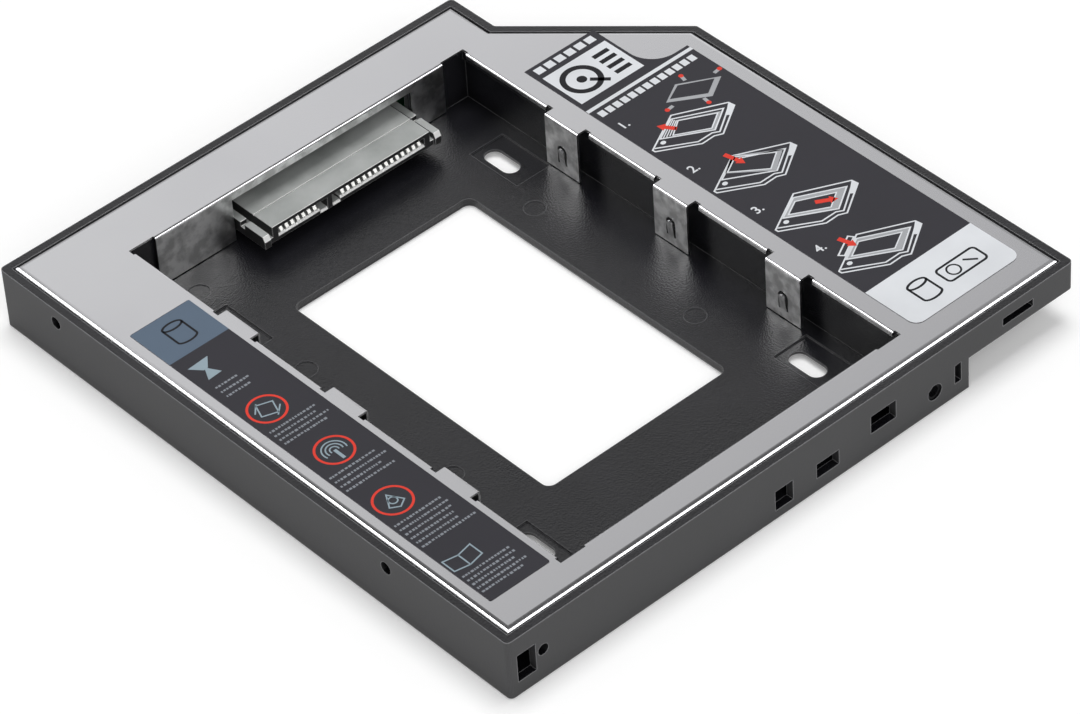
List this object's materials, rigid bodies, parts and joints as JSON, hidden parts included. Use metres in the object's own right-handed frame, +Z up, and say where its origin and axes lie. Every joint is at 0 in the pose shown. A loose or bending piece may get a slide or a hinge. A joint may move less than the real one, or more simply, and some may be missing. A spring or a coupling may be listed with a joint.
{
  "type": "drive mounting frame",
  "caption": "Slim bay frame: moulded tray with a folded sheet top that holds a 2.5-inch drive on spring tabs and joins it to the bay's plug.",
  "frame": {"origin": "middle of the footprint's box, on the underside that the frame rests on", "axes": "+X to the right along the front edge as seen from the front, +Y from the front face to the rear with the host plug, +Z up to the labelled sheet"},
  "size_m": [0.128, 0.129, 0.0127],
  "materials": {
    "tray_plastic": "fine moulded texture outside, smoother and slightly glossy on the bay's floor",
    "sheet_steel": "satin stamped sheet with bright folds",
    "receptacle_plastic": "satin moulded housing",
    "board_laminate": "lacquered laminate",
    "screw_steel": "plated",
    "plug_plastic": "satin moulded housing",
    "guide_print": "charcoal printed label, satin film",
    "side_print": "charcoal printed label, satin film",
    "contact_metal": "bright plated strip",
    "capacitor_ceramic": "bare ceramic"
  },
  "bodies": {
    "root": {"tray": "tray_plastic", "top_plate": "sheet_steel", "drive_receptacle": "receptacle_plastic", "circuit_board": "board_laminate", "board_screws": "screw_steel", "host_plug": "plug_plastic", "guide_label": "guide_print", "side_label": "side_print", "signal_contact_1": "contact_metal", "signal_contact_2": "contact_metal", "signal_contact_3": "contact_metal", "signal_contact_4": "contact_metal", "signal_contact_5": "contact_metal", "signal_contact_6": "contact_metal", "signal_contact_7": "contact_metal", "power_contact_1": "contact_metal", "power_contact_2": "contact_metal", "power_contact_3": "contact_metal", "power_contact_4": "contact_metal", "power_contact_5": "contact_metal", "power_contact_6": "contact_metal", "power_contact_7": "contact_metal", "power_contact_8": "contact_metal", "power_contact_9": "contact_metal", "power_contact_10": "contact_metal", "power_contact_11": "contact_metal", "power_contact_12": "contact_metal", "power_contact_13": "contact_metal", "power_contact_14": "contact_metal", "power_contact_15": "contact_metal", "host_signal_contact_1": "contact_metal", "host_signal_contact_2": "contact_metal", "host_signal_contact_3": "contact_metal", "host_signal_contact_4": "contact_metal", "host_signal_contact_5": "contact_metal", "host_signal_contact_6": "contact_metal", "host_signal_contact_7": "contact_metal", "host_power_contact_1": "contact_metal", "host_power_contact_2": "contact_metal", "host_power_contact_3": "contact_metal", "host_power_contact_4": "contact_metal", "host_power_contact_5": "contact_metal", "host_power_contact_6": "contact_metal", "filter_capacitor_1": "capacitor_ceramic", "filter_capacitor_2": "capacitor_ceramic", "filter_capacitor_3": "capacitor_ceramic"}
  },
  "joints": []
}
